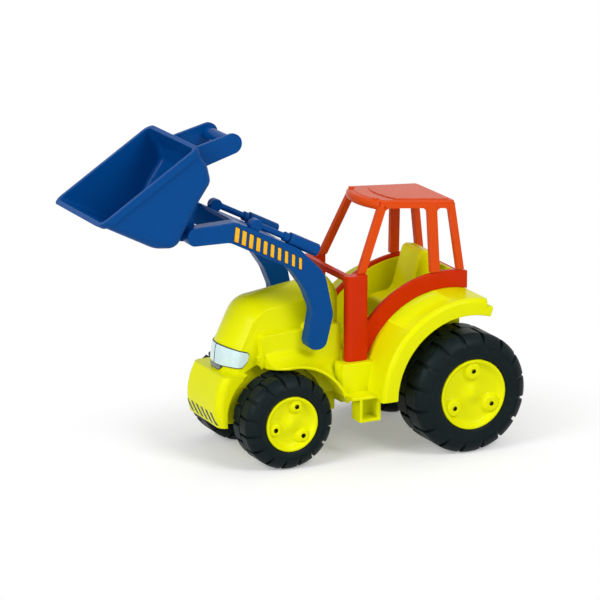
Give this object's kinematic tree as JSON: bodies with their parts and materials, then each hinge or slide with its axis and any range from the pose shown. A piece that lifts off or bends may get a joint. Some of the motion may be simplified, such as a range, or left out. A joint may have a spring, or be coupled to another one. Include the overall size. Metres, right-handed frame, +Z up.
{
  "type": "toy tractor with front loader",
  "caption": "Moulded plastic toy tractor with an open cab, free-rolling wheels and a front loader whose arms lift and whose bucket tips by a grip handle.",
  "frame": {"origin": "on the floor under the middle of the toy", "axes": "+X forward towards the bucket, +Y to the driver's left, +Z up"},
  "size_m": [0.4164, 0.201, 0.3145],
  "materials": {
    "yellow_moulding": "glossy moulded polyethylene",
    "red_moulding": "glossy moulded polyethylene",
    "blue_moulding": "glossy moulded polyethylene",
    "tyre_moulding": "satin black moulding",
    "lamp_moulding": "glossy pale lamp strip",
    "axle_steel": "drawn rod"
  },
  "bodies": {
    "chassis": {"body_shell": "yellow_moulding", "lamp_strip": "lamp_moulding", "seat": "yellow_moulding", "cab_base": "red_moulding", "cab_roof": "red_moulding", "axle_front": "axle_steel", "axle_rear": "axle_steel"},
    "loader": {"loader_arms": "blue_moulding", "ram_left": "blue_moulding", "ram_right": "blue_moulding"},
    "bucket": {"bucket": "blue_moulding", "bucket_grip": "blue_moulding"},
    "wheel_rear_left": {"tyre_rear_left": "tyre_moulding", "hub_rear_left": "yellow_moulding"},
    "wheel_rear_right": {"tyre_rear_right": "tyre_moulding", "hub_rear_right": "yellow_moulding"},
    "wheel_front_left": {"tyre_front_left": "tyre_moulding", "hub_front_left": "yellow_moulding"},
    "wheel_front_right": {"tyre_front_right": "tyre_moulding", "hub_front_right": "yellow_moulding"}
  },
  "joints": [
    {"name": "loader_lift", "type": "hinge", "parent": "chassis", "child": "loader", "pos_m": [-0.0105, 0, 0.121], "axis": [0, -1, 0], "range_deg": [-75, 12]},
    {"name": "bucket_tilt", "type": "hinge", "parent": "loader", "child": "bucket", "pos_m": [0.112, 0, 0.2273], "axis": [0, 1, 0], "range_deg": [-48, 45]},
    {"name": "rear_left_wheel_spin", "type": "hinge", "parent": "chassis", "child": "wheel_rear_left", "pos_m": [-0.1495, 0.0785, 0.05797], "axis": [0, 1, 0], "continuous": true},
    {"name": "rear_right_wheel_spin", "type": "hinge", "parent": "chassis", "child": "wheel_rear_right", "pos_m": [-0.1495, -0.0785, 0.05797], "axis": [0, 1, 0], "continuous": true},
    {"name": "front_left_wheel_spin", "type": "hinge", "parent": "chassis", "child": "wheel_front_left", "pos_m": [0.0255, 0.0505, 0.04458], "axis": [0, 1, 0], "continuous": true},
    {"name": "front_right_wheel_spin", "type": "hinge", "parent": "chassis", "child": "wheel_front_right", "pos_m": [0.0255, -0.0505, 0.04458], "axis": [0, 1, 0], "continuous": true}
  ]
}
